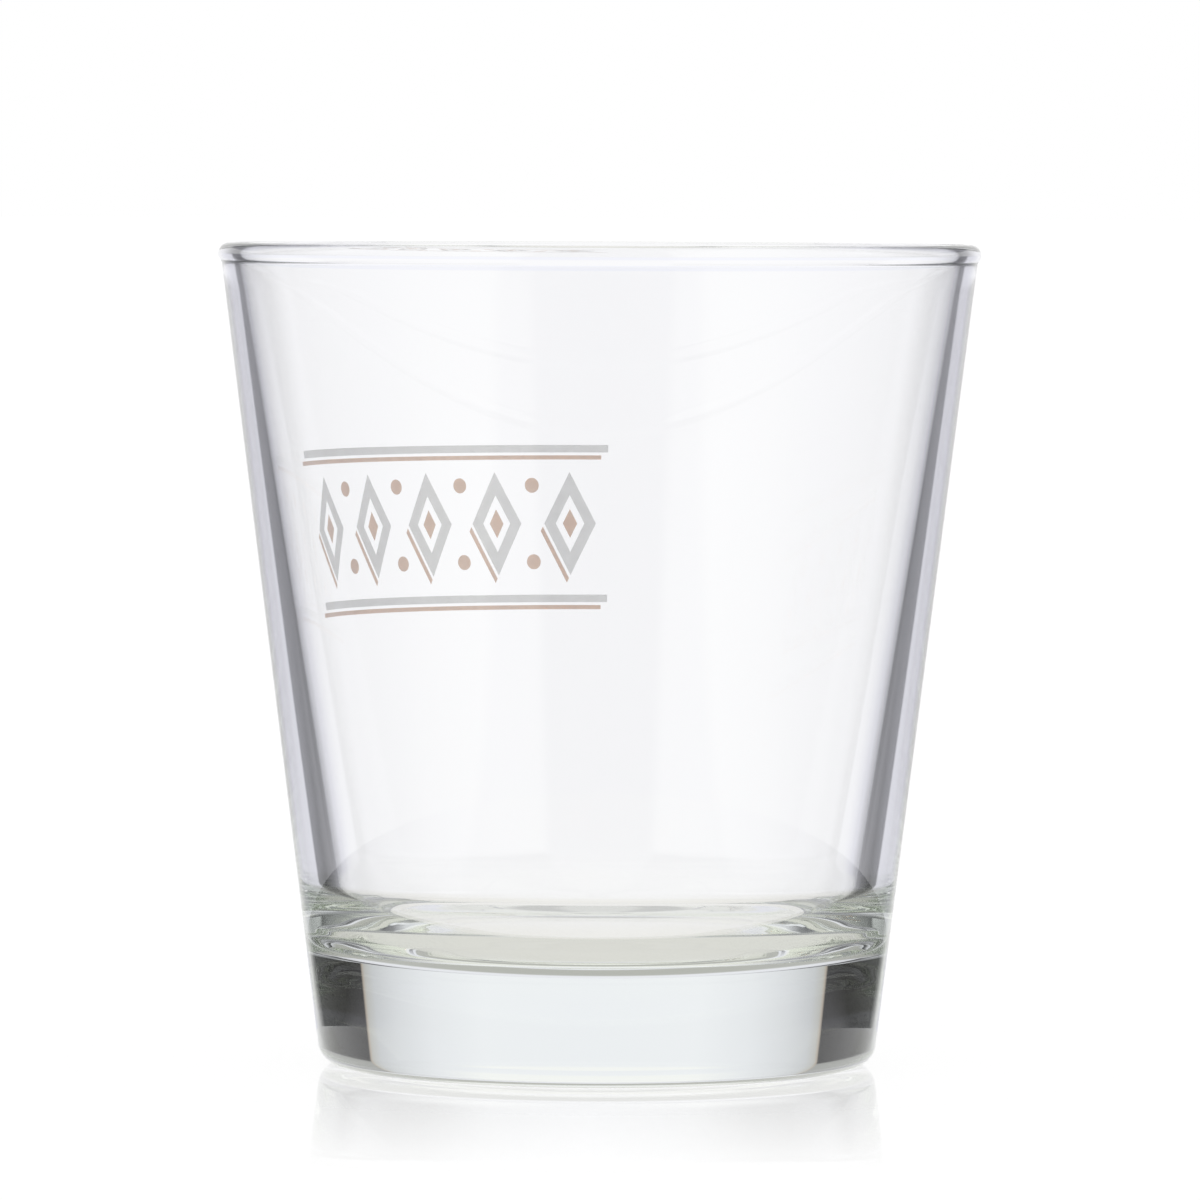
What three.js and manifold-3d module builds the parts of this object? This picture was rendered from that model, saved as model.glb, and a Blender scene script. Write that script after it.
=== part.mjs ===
// A tapered rocks glass: one piece of pressed clear glass with a heavy base, and a two-colour fired
// enamel frieze of lozenges and dots on the outside of its wall.
// Millimetres, +Z up. The origin is the centre of the ring that the glass stands on.

import * as THREE from "three";
import { mergeVertices } from "three/addons/utils/BufferGeometryUtils.js";
import Module from "manifold-3d";

// Driving dimensions of the glass
const HEIGHT = 95.4;
const FOOT_RADIUS = 32.2; // the outer wall's line, carried down to the table
const OUTER_TAPER = 7.13; // degrees from upright
const INNER_TAPER = 9.13; // degrees from upright, so the wall thickens downwards
const RIM_WALL = 1.9; // the wall at the rim, measured level
const BEAD_RADIUS = 1.25; // the round, fire-polished lip
const NECK_RADIUS = 0.9; // the hollow blend from the lip into the wall
const BASE_THICKNESS = 12.3; // from the table to the middle of the dished inner floor
const DISH_RADIUS = 165; // the shallow round of the inner floor
const CORNER_RADIUS = 10; // between the inner wall and the inner floor
const HEEL_RADIUS = 2.6; // between the outer wall and the bearing ring
const RING_WIDTH = 3.2; // the flat ring that the glass stands on
const PUSH_UP = 1.2; // how far the underside rises at its centre

// Driving dimensions of the enamel frieze, measured along the wall
const ENAMEL_THICKNESS = 0.12;
const ENAMEL_CLEARANCE = 0.05; // between the enamel and the glass under it
const FRIEZE_BEARING = 123; // degrees anticlockwise from +X to the middle of the frieze
const FRIEZE_HEIGHT = 60; // from the table to the middle of the frieze
const LOZENGE_COUNT = 5;
const LOZENGE_PITCH = 9.6;
const LOZENGE_WIDTH = 6.6;
const LOZENGE_HEIGHT = 12.4;
const LOZENGE_BAND = 1.3; // the width of each side of a lozenge frame
const CORE_GAP = 0.8; // bare glass between a frame and its core
const SHADOW_GAP = 0.35; // bare glass between a shape and its drop shadow
const SHADOW_WIDTH = 0.5;
const DOT_RADIUS = 0.9; // the dots between the lozenges
const DOT_RISE = 4.6; // from the frieze's middle line to the middle of a dot
const RULE_WIDTH = 0.9;
const RULE_RISE = 9; // from the frieze's middle line to the middle of a rule

// How finely the round forms are divided
const ROUND_SEGMENTS = 80;
const ARC_STEP = 12; // degrees
const LEAST_ARC_STEPS = 4;

const wasm = await Module();
wasm.setup();

const radians = THREE.MathUtils.degToRad;

// The outer and inner walls are straight cones
const outerLean = radians(OUTER_TAPER);
const innerLean = radians(INNER_TAPER);
const outerRadius = (z) => FOOT_RADIUS + z * Math.tan(outerLean);
const innerRadius = (z) => outerRadius(HEIGHT) - RIM_WALL - (HEIGHT - z) * Math.tan(innerLean);

// A direction in the profile plane: x is outwards from the axis, y is up
function direction(angle) {
  return new THREE.Vector2(Math.cos(angle), Math.sin(angle));
}

function arc(centre, radius, from, to) {
  const sweep = to - from;
  const steps = Math.max(LEAST_ARC_STEPS, Math.ceil(Math.abs(sweep) / radians(ARC_STEP)));
  const points = [];
  for (let i = 0; i <= steps; i += 1) {
    const along = direction(from + (sweep * i) / steps);
    points.push(along.multiplyScalar(radius).add(centre));
  }
  return points;
}

// The shallow dome under the base, from the axis to the bearing ring
function underside(ringInside) {
  const domeRadius = (ringInside ** 2 + PUSH_UP ** 2) / (2 * PUSH_UP);
  const centre = new THREE.Vector2(0, PUSH_UP - domeRadius);
  const edge = Math.atan2(-centre.y, ringInside);
  return arc(centre, domeRadius, Math.PI / 2, edge);
}

// Where the blend under the lip has its centre: it touches the lip and the wall on one side of it.
// out points from the glass through that face of the wall, and up runs along it.
function neckCentre(lip, faceDistance, out, up) {
  const across = faceDistance + NECK_RADIUS;
  const down = Math.sqrt((BEAD_RADIUS + NECK_RADIUS) ** 2 - across ** 2);
  return lip.clone().addScaledVector(out, across).addScaledVector(up, -down);
}

// The lip with its two blends, from the outer wall over the top to the inner wall
function lipProfile() {
  const lipHeight = HEIGHT - BEAD_RADIUS;
  const lipRadius = (outerRadius(lipHeight) + innerRadius(lipHeight)) / 2;
  const lip = new THREE.Vector2(lipRadius, lipHeight);
  const outerFace = (outerRadius(lipHeight) - lipRadius) * Math.cos(outerLean);
  const innerFace = (lipRadius - innerRadius(lipHeight)) * Math.cos(innerLean);
  const outerOut = direction(-outerLean);
  const innerOut = direction(Math.PI - innerLean);
  const outerNeck = neckCentre(lip, outerFace, outerOut, direction(Math.PI / 2 - outerLean));
  const innerNeck = neckCentre(lip, innerFace, innerOut, direction(Math.PI / 2 - innerLean));
  const toLip = lip.clone().sub(outerNeck);
  const fromLip = lip.clone().sub(innerNeck);
  const outerSide = Math.atan2(-toLip.y, -toLip.x);
  const innerSide = Math.atan2(-fromLip.y, -fromLip.x) + 2 * Math.PI;
  return [
    ...arc(outerNeck, NECK_RADIUS, Math.PI - outerLean, Math.atan2(toLip.y, toLip.x)),
    ...arc(lip, BEAD_RADIUS, outerSide, innerSide),
    ...arc(innerNeck, NECK_RADIUS, Math.atan2(fromLip.y, fromLip.x), -innerLean),
  ];
}

// Where the round inner corner has its centre: it touches the inner wall and the dished floor
function cornerCentre(dish) {
  const slope = Math.tan(innerLean);
  const start = innerRadius(0) - CORNER_RADIUS / Math.cos(innerLean);
  const reach = DISH_RADIUS - CORNER_RADIUS;
  const square = slope ** 2 + 1;
  const half = start * slope - dish.y;
  const rest = start ** 2 + dish.y ** 2 - reach ** 2;
  const height = (-half - Math.sqrt(half ** 2 - square * rest)) / square;
  return new THREE.Vector2(start + slope * height, height);
}

// From the foot of the inner wall round the corner and over the dished floor to the axis
function innerFloor() {
  const dish = new THREE.Vector2(0, BASE_THICKNESS + DISH_RADIUS);
  const corner = cornerCentre(dish);
  const edge = Math.atan2(corner.y - dish.y, corner.x - dish.x);
  return [
    ...arc(corner, CORNER_RADIUS, -innerLean, edge),
    ...arc(dish, DISH_RADIUS, edge, -Math.PI / 2),
  ];
}

// The whole section, from the axis under the base, up the outside and down the inside
function glassProfile() {
  const heelRadius = outerRadius(HEEL_RADIUS) - HEEL_RADIUS / Math.cos(outerLean);
  const heel = new THREE.Vector2(heelRadius, HEEL_RADIUS);
  return [
    ...underside(heelRadius - RING_WIDTH),
    ...arc(heel, HEEL_RADIUS, -Math.PI / 2, -outerLean),
    ...lipProfile(),
    ...innerFloor(),
  ];
}

// Points that two neighbouring runs share are kept once, and the ends lie exactly on the axis
function withoutRepeats(profile) {
  const near = 1e-6;
  const kept = profile.filter((point, i) => i === 0 || point.distanceTo(profile[i - 1]) > near);
  return kept.map((point) => (point.x < near ? new THREE.Vector2(0, point.y) : point));
}

function revolve(profile) {
  const geometry = new THREE.LatheGeometry(profile, ROUND_SEGMENTS);
  geometry.rotateX(Math.PI / 2);
  return geometry;
}

// Closed geometry to a solid that can be cut, and back
function toSolid(geometry) {
  const bare = geometry.clone();
  bare.deleteAttribute("normal");
  bare.deleteAttribute("uv");
  const merged = mergeVertices(bare);
  const vertProperties = Float32Array.from(merged.attributes.position.array);
  const triVerts = Uint32Array.from(merged.index.array);
  return new wasm.Manifold(new wasm.Mesh({ numProp: 3, vertProperties, triVerts }));
}

function toGeometry(solid) {
  const mesh = solid.getMesh();
  const geometry = new THREE.BufferGeometry();
  geometry.setAttribute("position", new THREE.BufferAttribute(mesh.vertProperties, mesh.numProp));
  geometry.setIndex(new THREE.BufferAttribute(mesh.triVerts, 1));
  geometry.computeVertexNormals();
  return geometry;
}

// The frieze is laid out along the wall at its middle height, rightwards as seen from outside
const friezeRadius = outerRadius(FRIEZE_HEIGHT);
const bearingAt = (along) => radians(FRIEZE_BEARING) + along / friezeRadius;
const heightAt = (rise) => FRIEZE_HEIGHT + rise * Math.cos(outerLean);

// A point of the profile plane that stands off the outer wall
function offWall(z, distance) {
  const out = direction(-outerLean).multiplyScalar(distance);
  return new THREE.Vector2(outerRadius(z), z).add(out);
}

// A ring of enamel all round the wall, between two rises from the frieze's middle line
function enamelRing(lowRise, highRise) {
  const inside = ENAMEL_CLEARANCE;
  const outside = ENAMEL_CLEARANCE + ENAMEL_THICKNESS;
  const low = heightAt(lowRise);
  const high = heightAt(highRise);
  const start = offWall(low, inside);
  const profile = [start, offWall(low, outside), offWall(high, outside), offWall(high, inside), start];
  return toSolid(revolve(profile));
}

// An upright wedge from the axis, which cuts a stretch of arc out of a ring
function stretch(middle, length) {
  const from = bearingAt(middle - length / 2);
  const to = bearingAt(middle + length / 2);
  const reach = 2 * outerRadius(HEIGHT);
  const shape = new THREE.Shape();
  shape.moveTo(0, 0);
  shape.lineTo(reach * Math.cos(from), reach * Math.sin(from));
  shape.absarc(0, 0, reach, from, to);
  shape.closePath();
  return toSolid(new THREE.ExtrudeGeometry(shape, { depth: HEIGHT, bevelEnabled: false }));
}

// A flat shape pushed square through the wall at a place on the frieze, deep enough for its round
function stamp(shape, along, rise) {
  const depth = LOZENGE_WIDTH;
  const bearing = bearingAt(along);
  const level = new THREE.Vector3(Math.cos(bearing), Math.sin(bearing), 0);
  const up = new THREE.Vector3(0, 0, 1);
  const right = up.clone().cross(level);
  const out = level.clone().multiplyScalar(Math.cos(outerLean)).addScaledVector(up, -Math.sin(outerLean));
  const slope = out.clone().cross(right);
  const place = level.clone().multiplyScalar(outerRadius(heightAt(rise)));
  place.z = heightAt(rise);
  const geometry = new THREE.ExtrudeGeometry(shape, { depth, bevelEnabled: false });
  geometry.translate(0, 0, -depth / 2);
  geometry.applyMatrix4(new THREE.Matrix4().makeBasis(right, slope, out).setPosition(place));
  return toSolid(geometry);
}

// A lozenge whose sides lie a given distance from its middle, with the frieze's proportions
const lozengeDiagonal = Math.hypot(LOZENGE_WIDTH, LOZENGE_HEIGHT);
const lozengeReach = (LOZENGE_WIDTH * LOZENGE_HEIGHT) / (2 * lozengeDiagonal);

function lozenge(reach, shiftRight = 0, shiftUp = 0) {
  const halfWidth = ((LOZENGE_WIDTH / 2) * reach) / lozengeReach;
  const halfHeight = ((LOZENGE_HEIGHT / 2) * reach) / lozengeReach;
  const shape = new THREE.Shape();
  shape.moveTo(shiftRight + halfWidth, shiftUp);
  shape.lineTo(shiftRight, shiftUp + halfHeight);
  shape.lineTo(shiftRight - halfWidth, shiftUp);
  shape.lineTo(shiftRight, shiftUp - halfHeight);
  shape.closePath();
  return shape;
}

function disc(radius) {
  const shape = new THREE.Shape();
  shape.absarc(0, 0, radius, 0, 2 * Math.PI);
  return shape;
}

function clearGlass() {
  return new THREE.MeshStandardMaterial({
    color: 0xeef3f2,
    roughness: 0.03,
    metalness: 0,
    transparent: true,
    opacity: 0.35,
  });
}

function greyEnamel() {
  return new THREE.MeshStandardMaterial({ color: 0xd6d6d3, roughness: 0.45, metalness: 0 });
}

function copperEnamel() {
  return new THREE.MeshStandardMaterial({ color: 0xc98a57, roughness: 0.4, metalness: 0 });
}

function named(name, geometry, material) {
  const mesh = new THREE.Mesh(geometry, material);
  mesh.name = name;
  return mesh;
}

function glassBody() {
  return named("glass_body", revolve(withoutRepeats(glassProfile())), clearGlass());
}

// One lozenge of the frieze: a grey frame, a copper core and a copper shadow down its lower right side
function lozengeGroup(number, along, film) {
  const group = new THREE.Group();
  const outline = stamp(lozenge(lozengeReach), along, 0);
  const window = stamp(lozenge(lozengeReach - LOZENGE_BAND), along, 0);
  const core = stamp(lozenge(lozengeReach - LOZENGE_BAND - CORE_GAP), along, 0);
  const apart = stamp(lozenge(lozengeReach + SHADOW_GAP), along, 0);
  const share = (SHADOW_GAP + SHADOW_WIDTH) / (2 * lozengeReach);
  const cast = lozenge(lozengeReach, (share * LOZENGE_WIDTH) / 2, (-share * LOZENGE_HEIGHT) / 2);
  const frame = film.intersect(outline.subtract(window));
  const shadow = film.intersect(stamp(cast, along, 0).subtract(apart));
  group.add(named(`lozenge_frame_${number}`, toGeometry(frame), greyEnamel()));
  group.add(named(`lozenge_core_${number}`, toGeometry(film.intersect(core)), copperEnamel()));
  group.add(named(`lozenge_shadow_${number}`, toGeometry(shadow), copperEnamel()));
  return group;
}

// The two copper dots between a lozenge and the next one
function dotPair(number, along, film) {
  const group = new THREE.Group();
  const upper = stamp(disc(DOT_RADIUS), along, DOT_RISE);
  const lower = stamp(disc(DOT_RADIUS), along, -DOT_RISE);
  group.add(named(`upper_dot_${number}`, toGeometry(film.intersect(upper)), copperEnamel()));
  group.add(named(`lower_dot_${number}`, toGeometry(film.intersect(lower)), copperEnamel()));
  return group;
}

// A grey rule along the frieze, with a copper line under it that is shifted to the right
function rule(side, rise) {
  const group = new THREE.Group();
  const length = LOZENGE_COUNT * LOZENGE_PITCH;
  const shift = SHADOW_GAP + SHADOW_WIDTH;
  const bottom = rise - RULE_WIDTH / 2;
  const lineTop = bottom - SHADOW_GAP;
  const bar = enamelRing(bottom, bottom + RULE_WIDTH).intersect(stretch(0, length));
  const line = enamelRing(lineTop - SHADOW_WIDTH, lineTop).intersect(stretch(shift, length));
  group.add(named(`${side}_rule`, toGeometry(bar), greyEnamel()));
  group.add(named(`${side}_rule_shadow`, toGeometry(line), copperEnamel()));
  return group;
}

function frieze() {
  const group = new THREE.Group();
  const film = enamelRing(-RULE_RISE, RULE_RISE);
  for (let i = 0; i < LOZENGE_COUNT; i += 1) {
    const along = (i - (LOZENGE_COUNT - 1) / 2) * LOZENGE_PITCH;
    group.add(lozengeGroup(i + 1, along, film));
    if (i < LOZENGE_COUNT - 1) {
      group.add(dotPair(i + 1, along + LOZENGE_PITCH / 2, film));
    }
  }
  group.add(rule("upper", RULE_RISE));
  group.add(rule("lower", -RULE_RISE));
  return group;
}

const rocksGlass = new THREE.Group();
rocksGlass.add(glassBody());
rocksGlass.add(frieze());

export default rocksGlass;
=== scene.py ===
# A clear tapered rocks glass with a heavy base and a two-colour enamel frieze on its wall,
# standing on a pale glossy floor in soft studio light. Metres, +Z up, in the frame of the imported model.
import math

import bpy
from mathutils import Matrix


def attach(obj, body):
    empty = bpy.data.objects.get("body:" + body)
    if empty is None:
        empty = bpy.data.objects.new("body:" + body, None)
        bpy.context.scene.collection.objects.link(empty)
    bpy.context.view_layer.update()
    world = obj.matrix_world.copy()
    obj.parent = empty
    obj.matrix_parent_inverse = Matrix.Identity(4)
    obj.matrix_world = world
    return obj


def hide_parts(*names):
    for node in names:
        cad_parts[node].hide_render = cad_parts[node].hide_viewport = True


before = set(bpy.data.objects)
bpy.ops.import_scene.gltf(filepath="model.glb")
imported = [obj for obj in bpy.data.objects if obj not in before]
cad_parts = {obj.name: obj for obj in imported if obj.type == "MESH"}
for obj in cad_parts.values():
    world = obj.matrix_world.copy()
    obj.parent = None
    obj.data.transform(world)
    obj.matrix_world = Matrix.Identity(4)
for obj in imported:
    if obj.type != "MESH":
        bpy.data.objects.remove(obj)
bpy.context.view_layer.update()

MM = 0.001

# The glass, with the sizes of its solid
HEIGHT = 95.4 * MM
FOOT_RADIUS = 32.2 * MM
OUTER_LEAN = math.radians(7.13)
INNER_LEAN = math.radians(9.13)
RIM_WALL = 1.9 * MM
BEAD_RADIUS = 1.25 * MM
NECK_RADIUS = 0.9 * MM
BASE_THICKNESS = 12.3 * MM
DISH_RADIUS = 165 * MM
CORNER_RADIUS = 10 * MM
HEEL_RADIUS = 2.6 * MM
RING_WIDTH = 3.2 * MM
PUSH_UP = 1.2 * MM

# The faint rings in the round inner corner
RIPPLE_HEIGHT = 0.012 * MM
RIPPLE_LENGTH = 2.4 * MM
RIPPLE_BEAT = 7.1 * MM
BEAT_SHARE = 0.5

# The enamel frieze, with the sizes of its solids along the wall
FRIEZE_BEARING = math.radians(123)
FRIEZE_HEIGHT = 60 * MM
LOZENGE_COUNT = 5
LOZENGE_PITCH = 9.6 * MM
LOZENGE_WIDTH = 6.6 * MM
LOZENGE_HEIGHT = 12.4 * MM
LOZENGE_BAND = 1.3 * MM
CORE_GAP = 0.8 * MM
SHADOW_GAP = 0.35 * MM
SHADOW_WIDTH = 0.5 * MM
DOT_RADIUS = 0.9 * MM
DOT_RISE = 4.6 * MM
RULE_WIDTH = 0.9 * MM
RULE_RISE = 9 * MM
FILM_GAP = 0.01 * MM
FILM_THICKNESS = 0.03 * MM

# How finely the forms are divided
ROUND_SEGMENTS = 300
WALL_STEP = 3 * MM
FINE_STEP = 0.4 * MM
RIPPLE_STEP = 0.11 * MM
STEPS_PER_RADIUS = 12
FEWEST_STEPS = 4
SAME_POINT = 0.0001 * MM
GRID = 12
BAND_GRID = 4
LINE_GRID = 3
RULE_GRID = 8 * GRID
SHARP_ANGLE = math.radians(40)

# The clear glass and what it absorbs
GLASS_IOR = 1.52
GLASS_TINT = (0.90, 0.93, 0.87, 1.0)
GLASS_DENSITY = 12.0

# The enamel. Each coat is mottled between a darker and a lighter colour. Each film's back faces the glass
# and takes a lighter copy of its coat: painted light, for the little light that reaches it through the glass
PALE_COAT = ((0.66, 0.66, 0.65), (0.76, 0.76, 0.745))
PALE_BACK_BRIGHTENED = ((0.88, 0.88, 0.86), (0.95, 0.95, 0.94))
COPPER_COAT = ((0.58, 0.29, 0.14), (0.70, 0.38, 0.20))
COPPER_BACK_BRIGHTENED = ((0.80, 0.50, 0.32), (0.90, 0.60, 0.40))
CLOUD_SCALE = 900.0
CLOUD_DETAIL = 4.0
CLOUD_FROM = 0.3
CLOUD_TO = 0.7
GRAIN_SCALE = 9000.0
GRAIN_DETAIL = 2.0
GRAIN_HEIGHT = 0.02 * MM
GRAIN_STRENGTH = 0.15
SATIN_LEAST = 0.4
SATIN_SPREAD = 0.2
FILM_CLEARNESS = 0.5
FILM_COVER = 0.62

# The camera, at the photograph's viewing angle
CAMERA_DISTANCE = 1039.5 * MM
CAMERA_HEIGHT = 101.6 * MM
CAMERA_PITCH = math.radians(2.624)
CAMERA_ROLL = math.radians(-0.21)
FOCAL_LENGTH = 268.4
SENSOR_WIDTH = 36.0
NEAREST_SEEN = 0.01
FARTHEST_SEEN = 100.0
BOUNCES = 32

# The floor itself
FLOOR_HALF = 30.0
FLOOR_GAP = 0.05 * MM
FLOOR_FILL = 0.88
FLOOR_COLOUR = 0.15
FLOOR_IOR = 1.2
FLOOR_GLOSS = 0.8
GLOSS_FROM = 45 * MM
GLOSS_TO = 125 * MM

# The studio. Light levels are given at some bearings, in degrees from straight behind the glass round to
# the camera. The camera itself sees plain white. Straight through the glass lies a bright sweep between
# dark sides. What the glass turns aside comes from low, middle or high in the studio, or from the floor.
HALF_TURN = 180
STUDIO_TURN = math.radians(1.1)
COOL = 1.09
OLIVE = 0.96
WHITE = (1.0, 1.0, 1.0, 1.0)
SKY = (0.985, 0.985, 1.0)
DARK = (0.030, 0.028, 0.030)
SIDE = (0.3, 0.3, 0.3)
SIDE_ABOVE = (0.35, 0.35, 0.35)
SWEEP = (
    (0, (0.925, 0.935, 1.0)),
    (15, (0.93, 0.94, 1.0)),
    (24, (0.855, 0.865, 0.925)),
    (32, (0.735, 0.745, 0.795)),
    (38, (0.61, 0.62, 0.66)),
    (41.4, (0.51, 0.50, 0.48)),
    (41.7, (0.42, 0.22, 0.09)),
)
SWEEP_EDGE = 42
THROUGH = (*SWEEP, (SWEEP_EDGE, DARK), (78, DARK), (82, SIDE), (86, SKY))
ABOVE = ((0, SKY), (15, SKY), *SWEEP[2:], (SWEEP_EDGE, SIDE_ABOVE))
MIRRORED = ((0, 1.0), (16, 1.0), (22, 0.3), (45, 0.3), (60, 1.0))
LOW = (
    (0, 0.86), (14, 0.70), (26, 0.25), (34, 0.18), (47, 0.60), (56, 0.30),
    (95, 0.59), (135, 0.98), (154, 1.0), (158, 0.46), (180, 0.40),
)
MIDDLE = (
    (0, 0.87), (16, 0.96), (43, 0.36), (55, 0.12), (65, 0.35),
    (95, 0.42), (135, 0.30), (153, 0.15), (157, 0.62), (180, 0.58),
)
HIGH = ((0, 0.92), (40, 0.86), (112, 0.86), (128, 0.52), (150, 0.52), (160, 0.70))

# Where one part of the studio gives way to the next, as the height of a direction
ABOVE_FROM = math.sin(math.radians(9))
ABOVE_TO = math.sin(math.radians(12))
MIRROR_FROM = math.sin(math.radians(12))
MIRROR_TO = math.sin(math.radians(15))
MIDDLE_FROM = math.sin(math.radians(13))
MIDDLE_TO = math.sin(math.radians(21))
HIGH_FROM = math.sin(math.radians(36))
HIGH_TO = math.sin(math.radians(47))

# The floor as light inside the glass meets it, glowing with set levels: a painted shadow below the base, a
# darker painted shadow ring near the foot, and away from it painted shade at the bearings of the studio's
# dark sides
PAINTED_SHADOW_BELOW = (0.70, 0.70, 0.66, 1.0)
NEAR = ((0, 0.48), (25, 0.30), (32, 0.17), (46, 0.15), (60, 0.65), (100, 0.58), (145, 0.30), (180, 0.32))
AWAY = (
    (0, 0.88), (27, 0.74), (28.5, 0.14), (37, 0.07), (46, 0.21),
    (66, 0.80), (110, 0.80), (130, 1.0), (153, 1.0), (158, 0.55), (180, 0.43),
)
BELOW_REACH = 34 * MM
NEAR_TO = 70 * MM
AWAY_FROM = 95 * MM

# The floor as the outside of the glass mirrors it, glowing with set levels: white at the heel, then beside
# the foot and far from it with painted shade at the bearings of the studio's dark sides
BESIDE = ((0, 0.86), (16, 1.0), (28.5, 0.05), (78, 0.01), (95, 0.25), (112, 0.55), (150, 0.90), (160, 1.0))
FAR = ((0, 0.99), (16, 1.0), (25, 0.70), (34, 0.40), (48, 0.70), (72, 1.0), (154, 1.0), (158, 0.88))
HEEL_REACH = 51 * MM
FAR_REACH = 140 * MM

# The floor straight through the glass glows with set levels of painted light and shade: a painted shadow of
# the glass under it, plain bright round it, and behind it painted shade at the bearings of the studio's dark
# sides
PAINTED_SHADOW_UNDER = (0.90, 0.89, 0.86, 1.0)
FLOOR_SEEN = (*SKY, 1.0)
BEHIND = ((0, 0.985), (16, 0.985), (23, 0.85), (32, 0.45), (45, 0.1), (58, 0.1), (72, 0.985))
UNDER_FROM = 40 * MM
UNDER_TO = 60 * MM
BEHIND_FROM = 90 * MM
BEHIND_TO = 120 * MM
WALL_REACH = 38 * MM


def outer_radius(z):
    return FOOT_RADIUS + z * math.tan(OUTER_LEAN)


def inner_radius(z):
    return outer_radius(HEIGHT) - RIM_WALL - (HEIGHT - z) * math.tan(INNER_LEAN)


# Profiles, as points of distance from the axis and height
def direction(angle):
    return math.cos(angle), math.sin(angle)


def stepped(base, out, distance):
    return base[0] + out[0] * distance, base[1] + out[1] * distance


def arc(centre, radius, start, end, step):
    count = max(FEWEST_STEPS, math.ceil(abs(end - start) * radius / step))
    return [stepped(centre, direction(start + (end - start) * i / count), radius) for i in range(count + 1)]


def line(start, end, step):
    count = max(1, math.ceil(math.dist(start, end) / step))
    return [tuple(a + (b - a) * i / count for a, b in zip(start, end)) for i in range(count + 1)]


def angle_from(a, b):
    return math.atan2(b[1] - a[1], b[0] - a[0])


def underside(ring_inside):
    """The shallow hollow under the base, from the axis to the bearing ring."""
    dome = (ring_inside**2 + PUSH_UP**2) / (2 * PUSH_UP)
    centre = (0.0, PUSH_UP - dome)
    return arc(centre, dome, math.pi / 2, math.atan2(-centre[1], ring_inside), WALL_STEP)


def neck_centre(lip, face_distance, out, up):
    """The centre of a neck, which touches the wall's face and the bead from outside."""
    across = face_distance + NECK_RADIUS
    down = math.sqrt((BEAD_RADIUS + NECK_RADIUS) ** 2 - across**2)
    return stepped(stepped(lip, out, across), up, -down)


def lip_profile():
    """Up the outer neck, over the bead and down the inner neck."""
    lip_height = HEIGHT - BEAD_RADIUS
    lip_radius = (outer_radius(lip_height) + inner_radius(lip_height)) / 2
    lip = (lip_radius, lip_height)
    outer_face = (outer_radius(lip_height) - lip_radius) * math.cos(OUTER_LEAN)
    inner_face = (lip_radius - inner_radius(lip_height)) * math.cos(INNER_LEAN)
    outer_up = direction(math.pi / 2 - OUTER_LEAN)
    inner_up = direction(math.pi / 2 - INNER_LEAN)
    outer_neck = neck_centre(lip, outer_face, direction(-OUTER_LEAN), outer_up)
    inner_neck = neck_centre(lip, inner_face, direction(math.pi - INNER_LEAN), inner_up)
    step = BEAD_RADIUS / STEPS_PER_RADIUS
    return (
        arc(outer_neck, NECK_RADIUS, math.pi - OUTER_LEAN, angle_from(outer_neck, lip), step)
        + arc(lip, BEAD_RADIUS, angle_from(lip, outer_neck), angle_from(lip, inner_neck) + 2 * math.pi, step)
        + arc(inner_neck, NECK_RADIUS, angle_from(inner_neck, lip), -INNER_LEAN, step)
    )


def inner_corner_centre():
    """The round corner touches the inner wall and the dished floor from inside."""
    slope = math.tan(INNER_LEAN)
    offset = inner_radius(0.0) - CORNER_RADIUS / math.cos(INNER_LEAN)
    dish_height = BASE_THICKNESS + DISH_RADIUS
    reach = DISH_RADIUS - CORNER_RADIUS
    square = slope**2 + 1
    half = offset * slope - dish_height
    rest = offset**2 + dish_height**2 - reach**2
    height = (-half - math.sqrt(half**2 - square * rest)) / square
    return offset + slope * height, height


def rippled_arc(centre, radius, start, end):
    """A round corner with the faint rings that a plunger leaves, now stronger and now weaker."""
    length = radius * abs(end - start)
    count = math.ceil(length / RIPPLE_STEP)
    points = []
    for i in range(count + 1):
        share = i / count
        run = 2 * math.pi * share * length
        swell = math.sin(math.pi * share) * (1 + BEAT_SHARE * math.cos(run / RIPPLE_BEAT))
        ripple = RIPPLE_HEIGHT * swell * math.sin(run / RIPPLE_LENGTH)
        points.append(stepped(centre, direction(start + (end - start) * share), radius + ripple))
    return points


def inside_profile(lip_end):
    """Down the inner wall, round the corner and over the dished floor to the axis."""
    corner = inner_corner_centre()
    dish = (0.0, BASE_THICKNESS + DISH_RADIUS)
    edge = angle_from(dish, corner)
    corner_arc = rippled_arc(corner, CORNER_RADIUS, -INNER_LEAN, edge)
    dish_arc = arc(dish, DISH_RADIUS, edge, -math.pi / 2, FINE_STEP)
    return line(lip_end, corner_arc[0], WALL_STEP) + corner_arc + dish_arc


def glass_profile():
    """From the axis under the base, up the outside, over the lip and down the inside."""
    heel = (outer_radius(HEEL_RADIUS) - HEEL_RADIUS / math.cos(OUTER_LEAN), HEEL_RADIUS)
    under = underside(heel[0] - RING_WIDTH)
    heel_arc = arc(heel, HEEL_RADIUS, -math.pi / 2, -OUTER_LEAN, HEEL_RADIUS / STEPS_PER_RADIUS)
    lip = lip_profile()
    runs = (
        under
        + line(under[-1], heel_arc[0], WALL_STEP)
        + heel_arc
        + line(heel_arc[-1], lip[0], WALL_STEP)
        + lip
        + inside_profile(lip[-1])
    )
    return [p for i, p in enumerate(runs) if i == 0 or math.dist(p, runs[i - 1]) > SAME_POINT]


# Meshes
def mesh_object(name, points, faces):
    mesh = bpy.data.meshes.new(name)
    mesh.from_pydata(points, [], faces)
    mesh.validate()
    mesh.polygons.foreach_set("use_smooth", [True] * len(mesh.polygons))
    piece = bpy.data.objects.new(name, mesh)
    bpy.context.scene.collection.objects.link(piece)
    return piece


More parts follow.
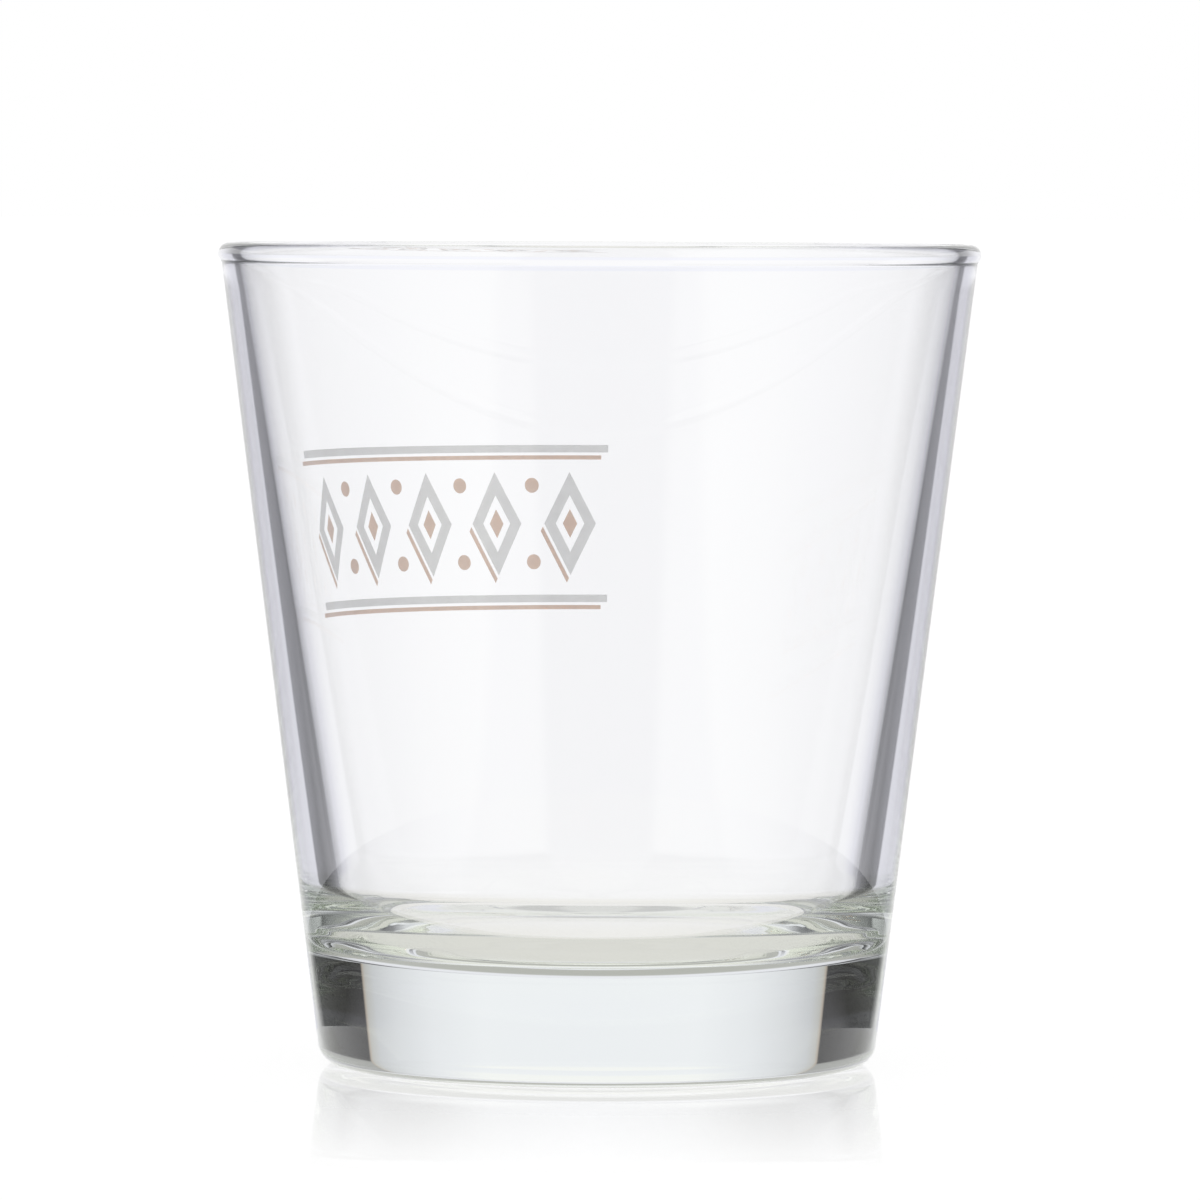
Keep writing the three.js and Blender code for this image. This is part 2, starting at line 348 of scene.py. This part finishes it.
def revolve(name, profile):
    """A solid of revolution from a profile that starts and ends on the axis."""
    rings = profile[1:-1]
    points = [(0.0, 0.0, profile[0][1]), (0.0, 0.0, profile[-1][1])]
    for turn in range(ROUND_SEGMENTS):
        across, along = direction(2 * math.pi * turn / ROUND_SEGMENTS)
        points += [(r * across, r * along, z) for r, z in rings]
    faces = []
    for turn in range(ROUND_SEGMENTS):
        here = 2 + turn * len(rings)
        there = 2 + (turn + 1) % ROUND_SEGMENTS * len(rings)
        faces.append((0, there, here))
        faces += [(here + i, there + i, there + i + 1, here + i + 1) for i in range(len(rings) - 1)]
        faces.append((1, here + len(rings) - 1, there + len(rings) - 1))
    return mesh_object(name, points, faces)


def glass_body():
    return revolve("tumbler", glass_profile())


# The enamel frieze: each island is a thin film over a grid of places on the wall
FRIEZE_RADIUS = outer_radius(FRIEZE_HEIGHT)
LOZENGE_REACH = LOZENGE_WIDTH * LOZENGE_HEIGHT / (2 * math.hypot(LOZENGE_WIDTH, LOZENGE_HEIGHT))


def on_wall(along, right, rise, off):
    """A point on the wall: along the frieze to a motif's middle, then to its right and up the slope."""
    z = FRIEZE_HEIGHT + rise * math.cos(OUTER_LEAN)
    bearing = FRIEZE_BEARING + along / FRIEZE_RADIUS + right / outer_radius(z)
    level = outer_radius(z) + off * math.cos(OUTER_LEAN)
    return level * math.cos(bearing), level * math.sin(bearing), z - off * math.sin(OUTER_LEAN)


def film(name, along, grid, closed=False):
    """A thin solid over a grid of (right, rise) places. A closed grid's last row meets its first.

    Its outer faces and its sides take the colour coat. Its back is seen through the glass and takes a
    lighter copy of that coat as painted light."""
    rows, columns = len(grid), len(grid[0])
    places = [place for row in grid for place in row]
    points = [on_wall(along, right, rise, FILM_GAP + FILM_THICKNESS) for right, rise in places]
    points += [on_wall(along, right, rise, FILM_GAP) for right, rise in places]
    under = len(places)
    faces = []
    sides = []
    for i in range(rows if closed else rows - 1):
        here, there = i * columns, (i + 1) % rows * columns
        faces += [(here + j, there + j, there + j + 1, here + j + 1) for j in range(columns - 1)]
        for j, turn in ((0, 1), (columns - 1, -1)):
            sides.append((here + j, under + here + j, under + there + j, there + j)[::turn])
    if not closed:
        for i, turn in ((0, -1), (rows - 1, 1)):
            start = i * columns
            for j in range(start, start + columns - 1):
                sides.append((j, under + j, under + j + 1, j + 1)[::turn])
    backs = [tuple(under + k for k in reversed(face)) for face in faces]
    piece = mesh_object(name, points, faces + sides + backs)
    coats = [0] * len(faces + sides) + [1] * len(backs)
    piece.data.polygons.foreach_set("material_index", coats)
    piece.data.set_sharp_from_angle(angle=SHARP_ANGLE)
    return piece


def steps(start, end, count):
    return [start + (end - start) * i / count for i in range(count + 1)]


def lozenge_place(p, q):
    """The square from -1 to 1 in p and q, sheared into a lozenge."""
    return LOZENGE_WIDTH * (p + q) / 4, LOZENGE_HEIGHT * (q - p) / 4


def lozenge_frame(name, along):
    inside = 1 - LOZENGE_BAND / LOZENGE_REACH
    side = steps(-1, 1, GRID)[:-1]
    loop = [(1, t) for t in side] + [(-t, 1) for t in side]
    loop += [(-1, -t) for t in side] + [(t, -1) for t in side]
    grid = [[lozenge_place(p * w, q * w) for w in steps(1, inside, BAND_GRID)] for p, q in loop]
    return film(name, along, grid, closed=True)


def lozenge_core(name, along):
    size = 1 - (LOZENGE_BAND + CORE_GAP) / LOZENGE_REACH
    span = steps(-size, size, GRID)
    return film(name, along, [[lozenge_place(p, q) for p in reversed(span)] for q in span])


def lozenge_shadow(name, along):
    start = 1 + SHADOW_GAP / LOZENGE_REACH
    width = SHADOW_WIDTH / LOZENGE_REACH
    across = steps(start + width, start, LINE_GRID)
    return film(name, along, [[lozenge_place(p, q) for p in across] for q in steps(-1, 1, GRID)])


def dot(name, along, rise):
    """A disc over a square grid that is rounded into a circle."""
    span = steps(-1, 1, GRID)
    grid = []
    for p in span:
        column = [(p * math.sqrt(1 - q * q / 2), q * math.sqrt(1 - p * p / 2)) for q in span]
        grid.append([(DOT_RADIUS * u, rise + DOT_RADIUS * v) for u, v in column])
    return film(name, along, grid)


def bar(name, shift, low, high):
    """A line along the whole frieze, between two rises on the wall."""
    length = LOZENGE_COUNT * LOZENGE_PITCH
    grid = []
    for turn in steps(shift - length / 2, shift + length / 2, RULE_GRID):
        column = []
        for rise in steps(low, high, LINE_GRID):
            z = FRIEZE_HEIGHT + rise * math.cos(OUTER_LEAN)
            column.append((turn * outer_radius(z) / FRIEZE_RADIUS, rise))
        grid.append(column)
    return film(name, 0.0, grid)


# Materials
class Tree:
    """A node tree with short calls for the nodes that the materials here share."""

    def __init__(self, owner):
        owner.use_nodes = True
        self.nodes = owner.node_tree.nodes
        self.links = owner.node_tree.links

    def add(self, kind, **inputs):
        node = self.nodes.new("ShaderNode" + kind)
        for name, value in inputs.items():
            self.put(node.inputs[name.replace("_", " ")], value)
        return node

    def put(self, socket, value):
        if isinstance(value, bpy.types.NodeSocket):
            self.links.new(value, socket)
        else:
            socket.default_value = value

    def calc(self, operation, *values):
        node = self.nodes.new("ShaderNodeMath")
        node.operation = operation
        for socket, value in zip(node.inputs, values):
            self.put(socket, value)
        return node.outputs["Value"]

    def some(self, count):
        """1 where a count is one or more, and otherwise 0."""
        return self.calc("GREATER_THAN", count, 0.5)

    def length(self, vector):
        node = self.nodes.new("ShaderNodeVectorMath")
        node.operation = "LENGTH"
        self.links.new(vector, node.inputs[0])
        return node.outputs["Value"]

    def ramp(self, factor, stops):
        node = self.add("ValToRGB", Fac=factor)
        marks = node.color_ramp.elements
        while len(marks) < len(stops):
            marks.new(1.0)
        for mark, (position, colour) in zip(marks, stops):
            mark.position = position
            mark.color = (*colour, 1.0)
        return node.outputs["Color"]

    def rise(self, value, start, end):
        """From 0 at the start to 1 at the end."""
        node = self.add("MapRange", Value=value, From_Min=start, From_Max=end)
        return node.outputs["Result"]

    def blend(self, factor, first, second):
        node = self.nodes.new("ShaderNodeMix")
        node.data_type = "RGBA"
        colours = [socket for socket in node.inputs if socket.type == "RGBA"]
        self.put(node.inputs[0], factor)
        self.put(colours[0], first)
        self.put(colours[1], second)
        return next(socket for socket in node.outputs if socket.type == "RGBA")

    def mix(self, factor, first, second):
        node = self.nodes.new("ShaderNodeMixShader")
        self.put(node.inputs["Fac"], factor)
        self.links.new(first, node.inputs[1])
        self.links.new(second, node.inputs[2])
        return node.outputs["Shader"]


def new_material(name):
    material = bpy.data.materials.new(name)
    return material, Tree(material)


def clear_glass():
    material, tree = new_material("clear_glass")
    shader = tree.nodes["Principled BSDF"]
    shader.inputs["Base Color"].default_value = WHITE
    shader.inputs["Roughness"].default_value = 0.0
    shader.inputs["IOR"].default_value = GLASS_IOR
    shader.inputs["Transmission Weight"].default_value = 1.0
    depth = tree.add("VolumeAbsorption", Color=GLASS_TINT, Density=GLASS_DENSITY)
    tree.links.new(depth.outputs["Volume"], tree.nodes["Material Output"].inputs["Volume"])
    return material


def enamel(name, dark, light):
    """A fired film: faintly mottled, satin, with a fine grain, and it lets some light through."""
    material, tree = new_material(name)
    shader = tree.nodes["Principled BSDF"]
    place = tree.add("TexCoord").outputs["Object"]
    cloud = tree.add("TexNoise", Vector=place, Scale=CLOUD_SCALE, Detail=CLOUD_DETAIL).outputs["Fac"]
    grain = tree.add("TexNoise", Vector=place, Scale=GRAIN_SCALE, Detail=GRAIN_DETAIL).outputs["Fac"]
    tree.put(shader.inputs["Base Color"], tree.ramp(cloud, ((CLOUD_FROM, dark), (CLOUD_TO, light))))
    tree.put(shader.inputs["Roughness"], tree.calc("MULTIPLY_ADD", grain, SATIN_SPREAD, SATIN_LEAST))
    shader.inputs["Transmission Weight"].default_value = FILM_CLEARNESS
    shader.inputs["Alpha"].default_value = FILM_COVER
    bump = tree.add("Bump", Strength=GRAIN_STRENGTH, Distance=GRAIN_HEIGHT, Height=grain)
    tree.links.new(bump.outputs["Normal"], shader.inputs["Normal"])
    return material


# The second material of each pair is the lighter copy for the films' backs: painted light
def pale_enamel():
    return [enamel("grey_enamel", *PALE_COAT), enamel("grey_back_brightened", *PALE_BACK_BRIGHTENED)]


def copper_enamel():
    return [enamel("copper_enamel", *COPPER_COAT), enamel("copper_back_brightened", *COPPER_BACK_BRIGHTENED)]


# The studio
def tinted(level, blue):
    """A grey with more or less blue in it."""
    return level, level, min(1.0, level * blue)


class Bearings:
    """Colours by how far round a place or direction lies from straight behind the glass."""

    def __init__(self, tree, place, reach=0.0):
        self.tree = tree
        split = tree.add("SeparateXYZ", Vector=place)
        across = tree.calc("ABSOLUTE", split.outputs["X"])
        outside = tree.calc("MAXIMUM", tree.calc("SUBTRACT", across, reach), 0.0)
        self.turn = tree.calc("DIVIDE", tree.calc("ARCTAN2", outside, split.outputs["Y"]), math.pi)
        self.height = split.outputs["Z"]

    def colour(self, stops):
        return self.tree.ramp(self.turn, [(degrees / HALF_TURN, colour) for degrees, colour in stops])

    def level(self, stops, blue=COOL):
        return self.colour([(degrees, tinted(level, blue)) for degrees, level in stops])


def ray_kinds(tree):
    """Whether a ray has come through the glass, and whether it was mirrored, inside the glass or outside.

    Light that a matt surface has scattered counts as neither."""
    path = tree.add("LightPath")
    clean = tree.calc("SUBTRACT", 1.0, tree.some(path.outputs["Diffuse Depth"]))
    through = tree.calc("MULTIPLY", tree.some(path.outputs["Transmission Depth"]), clean)
    turned = tree.calc("MULTIPLY", tree.some(path.outputs["Glossy Depth"]), clean)
    return through, turned


def studio_straight(tree, around):
    """The sweep and its dark sides, with a paler sky above."""
    higher = tree.rise(around.height, ABOVE_FROM, ABOVE_TO)
    return tree.blend(higher, around.colour(THROUGH), around.colour(ABOVE))


def studio_inside(tree, around):
    """What the glass turns inside itself, from low, middle or high."""
    above_low = tree.rise(around.height, MIDDLE_FROM, MIDDLE_TO)
    above_middle = tree.rise(around.height, HIGH_FROM, HIGH_TO)
    low_or_middle = tree.blend(above_low, around.level(LOW), around.level(MIDDLE))
    return tree.blend(above_middle, low_or_middle, around.level(HIGH, OLIVE))


def studio_outside(tree, around):
    """What the outside of the glass mirrors: white, and darker beside the sweep from some way up."""
    overhead = tree.rise(around.height, MIRROR_FROM, MIRROR_TO)
    return tree.blend(overhead, WHITE, around.level(MIRRORED))


def set_world():
    world = bpy.data.worlds.new("studio")
    bpy.context.scene.world = world
    tree = Tree(world)
    through, turned = ray_kinds(tree)
    way = tree.add("TexCoord").outputs["Generated"]
    studio_way = tree.add("Mapping", Vector=way, Rotation=(0.0, 0.0, STUDIO_TURN)).outputs["Vector"]
    around = Bearings(tree, studio_way)
    straight = tree.blend(through, WHITE, studio_straight(tree, around))
    aside = tree.blend(through, studio_outside(tree, around), studio_inside(tree, around))
    background = tree.nodes["Background"]
    tree.put(background.inputs["Color"], tree.blend(turned, straight, aside))
    background.inputs["Strength"].default_value = 1.0


# The floor
def grey(level):
    return level, level, level, 1.0


def floor_shown(tree, distance):
    """White to the camera, with the glass's shadow and a reflection that fades away from its foot."""
    matt = tree.add("BsdfDiffuse", Color=grey(FLOOR_COLOUR)).outputs["BSDF"]
    fill = tree.add("Emission", Color=grey(FLOOR_FILL)).outputs["Emission"]
    both = tree.nodes.new("ShaderNodeAddShader")
    tree.links.new(matt, both.inputs[0])
    tree.links.new(fill, both.inputs[1])
    fade = tree.calc("MULTIPLY", tree.rise(distance, GLOSS_TO, GLOSS_FROM), FLOOR_GLOSS)
    share = tree.calc("MULTIPLY", fade, tree.add("Fresnel", IOR=FLOOR_IOR).outputs["Fac"])
    mirror = tree.add("BsdfGlossy", Color=WHITE, Roughness=0.0).outputs["BSDF"]
    return tree.mix(share, both.outputs["Shader"], mirror)


def floor_straight(tree, around, distance):
    """The floor as it shows straight through the glass: a painted shadow under the glass and painted shade
    behind it beside the sweep.
    """
    close = tree.blend(tree.rise(distance, UNDER_FROM, UNDER_TO), PAINTED_SHADOW_UNDER, FLOOR_SEEN)
    return tree.blend(tree.rise(distance, BEHIND_FROM, BEHIND_TO), close, around.level(BEHIND))


def floor_inside(tree, around, distance):
    """The floor as light that the glass turns inside itself meets it: painted shadow below the base and
    round the foot, and painted shade beside the sweep.
    """
    near = around.level(NEAR, OLIVE)
    open_floor = tree.blend(tree.rise(distance, NEAR_TO, AWAY_FROM), near, around.level(AWAY))
    return tree.blend(tree.calc("LESS_THAN", distance, BELOW_REACH), open_floor, PAINTED_SHADOW_BELOW)


def floor_outside(tree, around, distance):
    """The floor as the outside of the glass mirrors it, with painted shade beside the sweep."""
    far = tree.calc("GREATER_THAN", distance, FAR_REACH)
    open_floor = tree.blend(far, around.level(BESIDE), around.level(FAR))
    return tree.blend(tree.calc("LESS_THAN", distance, HEEL_REACH), open_floor, WHITE)


def floor_material():
    material, tree = new_material("white_floor")
    through, turned = ray_kinds(tree)
    place = tree.add("TexCoord").outputs["Object"]
    distance = tree.length(place)
    around = Bearings(tree, place, WALL_REACH)
    straight = floor_straight(tree, around, distance)
    inside = floor_inside(tree, around, distance)
    outside = floor_outside(tree, around, distance)
    aside = tree.blend(through, outside, inside)
    # Painted light and shade: to rays through or off the glass, the floor glows with the set levels above
    # instead of taking light
    painted_floor_glow = tree.add("Emission", Color=tree.blend(turned, straight, aside)).outputs["Emission"]
    met = tree.calc("MAXIMUM", through, turned)
    surface = tree.mix(met, floor_shown(tree, distance), painted_floor_glow)
    tree.links.new(surface, tree.nodes["Material Output"].inputs["Surface"])
    return material


def set_stage():
    low = -FLOOR_GAP
    far = FLOOR_HALF
    corners = [(-far, -far, low), (far, -far, low), (far, far, low), (-far, far, low)]
    floor = mesh_object("floor", corners, [(0, 1, 2, 3)])
    floor.data.materials.append(floor_material())


def set_camera():
    data = bpy.data.cameras.new("camera")
    data.lens = FOCAL_LENGTH
    data.sensor_width = SENSOR_WIDTH
    data.clip_start = NEAREST_SEEN
    data.clip_end = FARTHEST_SEEN
    camera = bpy.data.objects.new("camera", data)
    camera.location = (0.0, -CAMERA_DISTANCE, CAMERA_HEIGHT)
    camera.rotation_euler = (math.pi / 2 - CAMERA_PITCH, CAMERA_ROLL, 0.0)
    bpy.context.scene.collection.objects.link(camera)
    bpy.context.scene.camera = camera


def set_light_paths():
    """Light runs round many times inside the thick base."""
    cycles = bpy.context.scene.cycles
    cycles.max_bounces = BOUNCES
    cycles.glossy_bounces = BOUNCES
    cycles.transmission_bounces = BOUNCES


# The pieces, each on the body and in place of the node that it stands for
def dress(piece, materials, node):
    for material in materials:
        piece.data.materials.append(material)
    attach(piece, "root")
    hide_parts(node)


def add_lozenge(number, along, pale, copper):
    band = lozenge_frame(f"film_frame_{number}", along)
    dress(band, pale, f"lozenge_frame_{number}")
    core = lozenge_core(f"film_core_{number}", along)
    dress(core, copper, f"lozenge_core_{number}")
    shadow = lozenge_shadow(f"film_shadow_{number}", along)
    dress(shadow, copper, f"lozenge_shadow_{number}")


def add_dots(number, along, copper):
    for side, rise in (("upper", DOT_RISE), ("lower", -DOT_RISE)):
        piece = dot(f"film_{side}_dot_{number}", along, rise)
        dress(piece, copper, f"{side}_dot_{number}")


def add_rules(pale, copper):
    shift = SHADOW_GAP + SHADOW_WIDTH
    for side, rise in (("upper", RULE_RISE), ("lower", -RULE_RISE)):
        bottom = rise - RULE_WIDTH / 2
        shadow_top = bottom - SHADOW_GAP
        rule = bar(f"film_{side}_rule", 0.0, bottom, bottom + RULE_WIDTH)
        dress(rule, pale, f"{side}_rule")
        shadow = bar(f"film_{side}_rule_shadow", shift, shadow_top - SHADOW_WIDTH, shadow_top)
        dress(shadow, copper, f"{side}_rule_shadow")


def add_frieze():
    pale = pale_enamel()
    copper = copper_enamel()
    for i in range(LOZENGE_COUNT):
        number = i + 1
        along = (i - (LOZENGE_COUNT - 1) / 2) * LOZENGE_PITCH
        add_lozenge(number, along, pale, copper)
        if number < LOZENGE_COUNT:
            add_dots(number, along + LOZENGE_PITCH / 2, copper)
    add_rules(pale, copper)


set_camera()
set_world()
set_stage()
dress(glass_body(), [clear_glass()], "glass_body")
add_frieze()

bpy.context.scene.view_settings.view_transform = "Standard"
set_light_paths()
